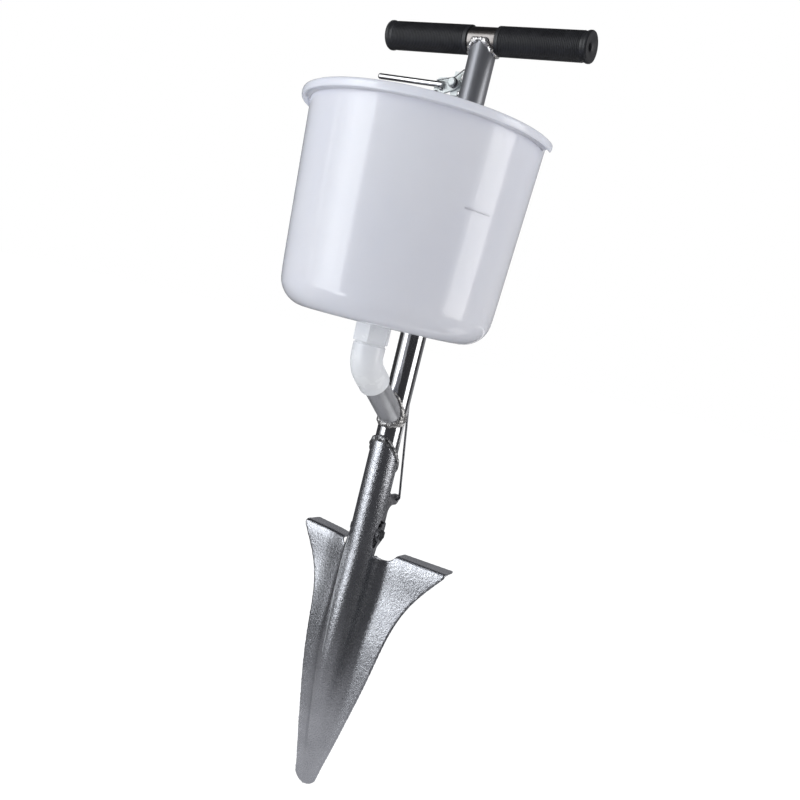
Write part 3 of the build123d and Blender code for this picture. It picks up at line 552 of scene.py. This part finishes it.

# Blade: one steel sheet, pressed to a hollow ridge with two wings, rolled to a socket at the top and folded
# back into two treads. The press and the blasting leave a fine hammered, speckled skin, and a raised line
# beside the ridge, whose pale finish is a painted highlight. A dark bead welds the socket to the shaft.
blade_steel, nodes, links, shader = start_finish("blade_steel")
sheet_place = object_place(nodes, links)
dents = noise(nodes, links, sheet_place, scale=300.0, detail=3.0, rough=0.55)
specks = noise(nodes, links, sheet_place, scale=900.0, detail=2.0, rough=0.6)
stains = noise(nodes, links, sheet_place, scale=26.0, detail=4.0, rough=0.55)
links.new(two_tone(nodes, links, stains, dark=(0.47, 0.478, 0.508), light=(0.61, 0.619, 0.652)),
          shader.inputs["Base Color"])
links.new(spread(nodes, links, specks, low=0.2, high=0.32), shader.inputs["Roughness"])
both = nodes.new("ShaderNodeMath")
links.new(dents, both.inputs[0])
links.new(specks, both.inputs[1])
raise_surface(nodes, links, shader, both.outputs["Value"], strength=0.4, distance=0.0008)
shader.inputs["Metallic"].default_value = 1.0

# The left wing's root swells forward beside the ridge. The swell rises from root_low and ends at root_top.
pressing = even_copy("blade", "blade_pressing", voxel=0.0013)
root_outer, root_peak, root_inner, root_swell = -0.066, -0.022, -0.006, 0.006
root_low, root_rise = 0.10, 0.10
root_top, root_fall = 0.335, 0.02
for corner in pressing.data.vertices:
    rise = min(max((corner.co.z - root_low) / root_rise, 0.0), 1.0)
    fall = min(max((root_top - corner.co.z) / root_fall, 0.0), 1.0)
    edge = root_outer if corner.co.x < root_peak else root_inner
    share = (corner.co.x - edge) / (root_peak - edge)
    if share > 0.0:
        corner.co.y -= root_swell * rise * fall * math.sin(math.pi / 2 * share) ** 2
soften(pressing, rounds=5)


def round_wire(name, points, radius, kind):
    """A round wire through points, as a mesh: straight between them for POLY, smooth for NURBS."""
    curve = bpy.data.curves.new(name, "CURVE")
    curve.dimensions = "3D"
    curve.bevel_depth = radius
    curve.bevel_resolution = 4
    curve.use_fill_caps = True
    line = curve.splines.new(kind)
    line.points.add(len(points) - 1)
    for point, place in zip(line.points, points):
        point.co = (*place, 1.0)
    line.use_endpoint_u = True
    line.order_u = 4
    wire = bpy.data.objects.new(name, curve)
    bpy.context.scene.collection.objects.link(wire)
    take_up(wire)
    bpy.ops.object.convert(target="MESH")
    bpy.ops.object.shade_smooth()
    return bpy.context.object


# The press line lies on the sheet's front, along these pairs of X and Z.
press_way = [(-0.0122, 0.329), (-0.0134, 0.306), (-0.0128, 0.283), (-0.0101, 0.250), (-0.0067, 0.214),
             (-0.0056, 0.181)]
press_points = [pressing.ray_cast((x, cad_low.y, z), (0.0, 1.0, 0.0))[1] for x, z in press_way]
# The press line's pale, half-metallic finish is a painted highlight along the raised line.
painted_highlight_line, shader = mottled(
    "painted_highlight_line", dark=(0.62, 0.63, 0.65), light=(0.78, 0.79, 0.81), rough_low=0.36, rough_high=0.5,
    scale=150.0, detail=3.0, rough=0.5, metallic=0.5)
press_line = round_wire("press_line", press_points, radius=0.0006, kind="NURBS")
press_line.data.materials.append(painted_highlight_line)
stand_for(pressing, "blade", "frame", blade_steel)
pressing.select_set(True)
bpy.context.view_layer.objects.active = pressing
bpy.ops.object.join()
dark_weld = weld_finish("dark_weld", dark=(0.07, 0.07, 0.075), light=(0.38, 0.38, 0.385))
laid_bead("socket_weld", "frame", dark_weld, voxel=0.0006, swell=0.0024, swell_size=0.0045, rise=-0.3)

# Flap and arm: a channel of duller sheet that closes the ridge from behind, with a flat arm welded on
# its back for the pull wire.
flap_steel, shader = mottled(
    "flap_steel", dark=(0.30, 0.30, 0.315), light=(0.46, 0.46, 0.48), rough_low=0.3, rough_high=0.46,
    scale=120.0, detail=5.0, bump=(0.15, 0.0005), metallic=1.0)
dress(flap_steel, "rear_flap", "flap_arm")
laid_bead("arm_weld", "flap", weld_metal, voxel=0.0004, swell=0.001, swell_size=0.003)

# Hinge: a blackened bolt and nut through the shaft's lower end, on which the flap's ears turn.
# Its washers are zinc plated, like those of the hopper clip.
dark_bolt, shader = mottled(
    "dark_bolt", dark=(0.045, 0.045, 0.05), light=(0.12, 0.12, 0.125), rough_low=0.3, rough_high=0.5,
    scale=240.0, bump=(0.1, 0.0003), metallic=0.8)
dress(dark_bolt, "hinge_bolt", "hinge_nut")
dress(zinc, "hinge_washers")

# Trigger: a zinc-plated bracket welded on the shaft, and in front of it a plate that turns on the
# pivot bolt and carries the chromed finger rod, which is welded to it.
pale_zinc, shader = mottled(
    "pale_zinc", dark=(0.70, 0.74, 0.73), light=(0.78, 0.82, 0.81), rough_low=0.42, rough_high=0.56,
    scale=150.0, bump=(0.08, 0.0003), metallic=0.35)
dress(pale_zinc, "trigger_plate", "trigger_bracket", "pivot_bolt")
dress(zinc, "pivot_nut")
rod_chrome, nodes, links, shader = drawn_steel(
    "rod_chrome", dark=(0.52, 0.515, 0.52), light=(0.68, 0.675, 0.68), rough_low=0.06, rough_high=0.15,
    grain=(14.0, 900.0, 900.0))
dress(rod_chrome, "trigger_rod")
laid_bead("bracket_welds", "frame", weld_metal, voxel=0.0004, swell=0.0012, swell_size=0.003)
laid_bead("rod_weld", "trigger", dark_weld, voxel=0.0004, swell=0.0014, swell_size=0.003, rise=0.3)

# Return spring: two turns of spring wire round the pivot bolt, with one leg against the shaft and one
# on the finger rod, so that it pushes the rod down again.
spring_steel, nodes, links, shader = drawn_steel(
    "spring_steel", dark=(0.14, 0.14, 0.15), light=(0.26, 0.26, 0.275), rough_low=0.22, rough_high=0.36,
    grain=(700.0, 700.0, 30.0))
pivot_low, pivot_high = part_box("pivot_nut")
pivot_x = (pivot_low.x + pivot_high.x) / 2
pivot_z = (pivot_low.z + pivot_high.z) / 2
coil_r = 0.0052
coil_wire_r = 0.0007
coil_pitch = 0.00185
coil_play = 0.0004
coil_back_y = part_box("trigger_plate")[0].y - coil_wire_r - coil_play
coil_start, coil_end = math.radians(135.0), math.radians(103.5 + 720.0)
shaft_leg, rod_leg = 0.0188, 0.020
coil_steps, leg_steps = 120, 8


def coil_point(angle):
    """A point on the coil, whose angle counts from +X towards +Z."""
    lead = coil_pitch * (angle - coil_start) / (2 * math.pi)
    return Vector((
        pivot_x + coil_r * math.cos(angle), coil_back_y - lead, pivot_z + coil_r * math.sin(angle)))


def coil_way(angle):
    """The coil's direction at an angle."""
    lead = coil_pitch / (2 * math.pi * coil_r)
    return Vector((-math.sin(angle), -lead, math.cos(angle))).normalized()


coil_points = [coil_point(coil_start) - coil_way(coil_start) * (shaft_leg * (1 - step / leg_steps))
               for step in range(leg_steps)]
coil_points += [coil_point(coil_start + (coil_end - coil_start) * step / coil_steps)
                for step in range(coil_steps + 1)]
coil_points += [coil_point(coil_end) + coil_way(coil_end) * (rod_leg * (step + 1) / leg_steps)
                for step in range(leg_steps)]
coil = round_wire("return_coil", coil_points, radius=coil_wire_r, kind="POLY")
coil.data.materials.append(spring_steel)
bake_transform(coil)
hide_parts("return_spring")

# Pull wire: hard steel wire, hooked through the trigger plate above and the lug of the flap's arm below.
# It is drawn like the spring's wire, so it has the same finish.
dress(spring_steel, "pull_wire")


# Studio: a white floor that keeps the shadow, a white surround, a broad soft box on the left, a narrower
# one on the right, and dark flags between them that give the metal its dark bands. Glowing floor flags, seen
# only in reflections, paint a pool of light round the tip and a spill of light near the left box.
def seen_at_all(nodes, links):
    """1 for rays from the camera, from gloss and through clear things, and 0 for rays that only light."""
    path = nodes.new("ShaderNodeLightPath")
    seen = path.outputs["Is Camera Ray"]
    for ray in ("Is Glossy Ray", "Is Transmission Ray"):
        either = nodes.new("ShaderNodeMath")
        either.operation = "MAXIMUM"
        links.new(seen, either.inputs[0])
        links.new(path.outputs[ray], either.inputs[1])
        seen = either.outputs["Value"]
    return seen


floor_white, nodes, links, shader = start_finish("floor_white")
pale = nodes.new("ShaderNodeBsdfDiffuse")
pale.inputs["Color"].default_value = (0.8, 0.8, 0.8, 1.0)
faint = nodes.new("ShaderNodeBsdfDiffuse")
faint.inputs["Color"].default_value = (0.3, 0.3, 0.3, 1.0)
glow = nodes.new("ShaderNodeEmission")
glow.inputs["Strength"].default_value = 0.9
shown = nodes.new("ShaderNodeAddShader")
links.new(faint.outputs["BSDF"], shown.inputs[0])
links.new(glow.outputs["Emission"], shown.inputs[1])
choose = nodes.new("ShaderNodeMixShader")
links.new(seen_at_all(nodes, links), choose.inputs["Fac"])
links.new(pale.outputs["BSDF"], choose.inputs[1])
links.new(shown.outputs["Shader"], choose.inputs[2])
links.new(choose.outputs["Shader"], nodes["Material Output"].inputs["Surface"])
floor_z, floor_r = cad_low.z - 0.001, 14.0
bpy.ops.object.select_all(action="DESELECT")
bpy.ops.mesh.primitive_circle_add(vertices=96, radius=floor_r, fill_type="NGON", location=(0, 0, floor_z))
floor = bpy.context.object
floor.name = "floor"
floor.data.materials.append(floor_white)


def flat_glow(name, colour, strength=1.0):
    """A finish that shines evenly."""
    finish, nodes, links, shader = start_finish(name)
    shine = nodes.new("ShaderNodeEmission")
    shine.inputs["Color"].default_value = (*colour, 1.0)
    shine.inputs["Strength"].default_value = strength
    links.new(shine.outputs["Emission"], nodes["Material Output"].inputs["Surface"])
    return finish


def swept_flag(name, finish, start_deg, end_deg, near, far):
    """A flag swept round the object between two bearings and seen only in reflections. Its profile is
    a line between two pairs of radius and height."""
    bpy.ops.object.select_all(action="DESELECT")
    start = math.radians(start_deg)
    bpy.ops.mesh.primitive_plane_add(size=1.0)
    flag = bpy.context.object
    flag.name = name
    bpy.ops.object.mode_set(mode="EDIT")
    bpy.ops.mesh.select_all(action="SELECT")
    bpy.ops.mesh.delete(type="ONLY_FACE")
    bpy.ops.mesh.select_all(action="SELECT")
    bpy.ops.mesh.merge(type="CENTER")
    bpy.ops.transform.translate(value=(near[0] * math.cos(start), near[0] * math.sin(start), near[1]))
    reach = far[0] - near[0]
    bpy.ops.mesh.extrude_region_move(TRANSFORM_OT_translate={
        "value": (reach * math.cos(start), reach * math.sin(start), far[1] - near[1])})
    bpy.ops.mesh.select_all(action="SELECT")
    step_deg = 5
    bpy.ops.mesh.spin(
        steps=max(2, round((end_deg - start_deg) / step_deg)), angle=math.radians(start_deg - end_deg),
        center=(0, 0, 0), axis=(0, 0, 1))
    bpy.ops.object.mode_set(mode="OBJECT")
    flag.data.materials.append(finish)
    flag.visible_camera = False
    flag.visible_diffuse = False
    flag.visible_transmission = False
    flag.visible_shadow = False


flag_dark = flat_glow("flag_dark", (0.05, 0.05, 0.054))
flag_grey = flat_glow("flag_grey", (0.27, 0.27, 0.28))
# A bright patch seen only in reflections: painted light spilt on the floor near the left box.
floor_lit = flat_glow("floor_lit", (0.97, 0.985, 1.0), strength=4.4)
# A floor flag seen only in reflections, glowing bright near the tip and dark further out: a painted pool of
# light on the floor.
painted_floor_pool, nodes, links, shader = start_finish("painted_floor_pool")
bounce = nodes.new("ShaderNodeEmission")
from_tip = nodes.new("ShaderNodeVectorMath")
from_tip.operation = "LENGTH"
links.new(object_place(nodes, links, scale=(1.0, 1.0, 0.0)), from_tip.inputs[0])
away = spread(nodes, links, from_tip.outputs["Value"], low=0.0, high=1.0, from_low=0.12, from_high=0.5)
links.new(two_tone(nodes, links, away, (0.50, 0.50, 0.52), (0.08, 0.08, 0.085), low=0.0, high=1.0),
          bounce.inputs["Color"])
links.new(bounce.outputs["Emission"], nodes["Material Output"].inputs["Surface"])
flag_z = cad_low.z - 0.0006
spill_z = flag_z + 0.0003
studio_r, studio_top = 3.0, 3.2
swept_flag("near_floor_flag", painted_floor_pool, 62.0, 390.0, (0.001, flag_z), (1.0, flag_z))
swept_flag("far_floor_flag", painted_floor_pool, 0.0, 360.0, (1.0, flag_z), (3.1, flag_z))
# The spill is painted light on the floor, seen only in reflections.
swept_flag("floor_spill", floor_lit, -116.0, -100.0, (1.12, spill_z), (1.6, spill_z))
swept_flag("front_flag", flag_dark, -104.0, -4.0, (studio_r, 0.0), (studio_r, studio_top))
swept_flag("right_flag", flag_dark, 30.0, 58.0, (studio_r, 0.0), (studio_r, studio_top))
swept_flag("back_flag", flag_dark, 130.0, 208.0, (studio_r, 0.0), (studio_r, studio_top))
swept_flag("high_flag", flag_grey, 56.0, 132.0, (studio_r, 0.15), (studio_r, studio_top))
swept_flag("low_flag", flag_dark, -25.0, 30.0, (0.25, 0.0), (0.25, 0.375))
swept_flag("ceiling_flag", flag_dark, 0.0, 360.0, (0.001, studio_top), (3.2, studio_top))


def soft_box(name, bearing_deg, distance, low_z, width, tall, radiance, fade, colour):
    """An upright glowing panel at a bearing round the object, which fades towards its left edge."""
    glow, nodes, links, shader = start_finish(name + "_glow")
    panel = nodes.new("ShaderNodeEmission")
    panel.inputs["Color"].default_value = (*colour, 1.0)
    across = nodes.new("ShaderNodeSeparateXYZ")
    links.new(object_place(nodes, links), across.inputs["Vector"])
    edge_x, full_x = -0.5 * width, 0.05 * width
    strength = spread(nodes, links, across.outputs["X"], fade * radiance, radiance, edge_x, full_x)
    links.new(strength, panel.inputs["Strength"])
    links.new(panel.outputs["Emission"], nodes["Material Output"].inputs["Surface"])
    bearing = math.radians(bearing_deg)
    bpy.ops.object.select_all(action="DESELECT")
    bpy.ops.mesh.primitive_plane_add(
        size=1.0, location=(distance * math.cos(bearing), distance * math.sin(bearing), low_z + tall / 2),
        rotation=(math.pi / 2, 0, bearing + math.pi / 2))
    box = bpy.context.object
    box.name = name
    box.scale = (width, tall, 1.0)
    bpy.ops.object.transform_apply(location=False, rotation=False, scale=True)
    box.data.materials.append(glow)
    box.visible_camera = False


soft_box("left_box", bearing_deg=-124.5, distance=1.5, low_z=0.01, width=0.99, tall=1.67,
         radiance=3.9, fade=0.08, colour=(0.95, 0.975, 1.0))
soft_box("right_box", bearing_deg=13.0, distance=2.0, low_z=0.12, width=0.90, tall=2.0,
         radiance=3.4, fade=1.0, colour=(1.0, 0.995, 0.99))

world = bpy.data.worlds.new("surround")
bpy.context.scene.world = world
world.use_nodes = True
nodes, links = world.node_tree.nodes, world.node_tree.links
fill = nodes["Background"]
fill.inputs["Color"].default_value = (0.94, 0.96, 1.0, 1.0)
fill.inputs["Strength"].default_value = 0.5
white = nodes.new("ShaderNodeBackground")
white.inputs["Color"].default_value = (1.0, 1.0, 1.0, 1.0)
choose = nodes.new("ShaderNodeMixShader")
links.new(seen_at_all(nodes, links), choose.inputs["Fac"])
links.new(fill.outputs["Background"], choose.inputs[1])
links.new(white.outputs["Background"], choose.inputs[2])
links.new(choose.outputs["Shader"], nodes["World Output"].inputs["Surface"])
bpy.context.scene.view_settings.view_transform = "Standard"

# Camera: the photograph's viewing angle, from the front right and a little above.
# It is tilted so that the tool leans to the right in the picture.
camera = bpy.data.objects.new("camera", bpy.data.cameras.new("camera"))
bpy.context.scene.collection.objects.link(camera)
camera.data.lens = 38.73
camera.data.sensor_width = 36.0
tilted_up = Vector((-0.2559, -0.0333, 0.9661))
ahead = Vector((-0.48968, 0.86595, -0.10175)).normalized()
right = ahead.cross(tilted_up).normalized()
up = right.cross(ahead)
camera.location = (0.5155, -0.9056, 0.6125)
camera.rotation_euler = Matrix((right, up, -ahead)).transposed().to_euler()
bpy.context.scene.camera = camera
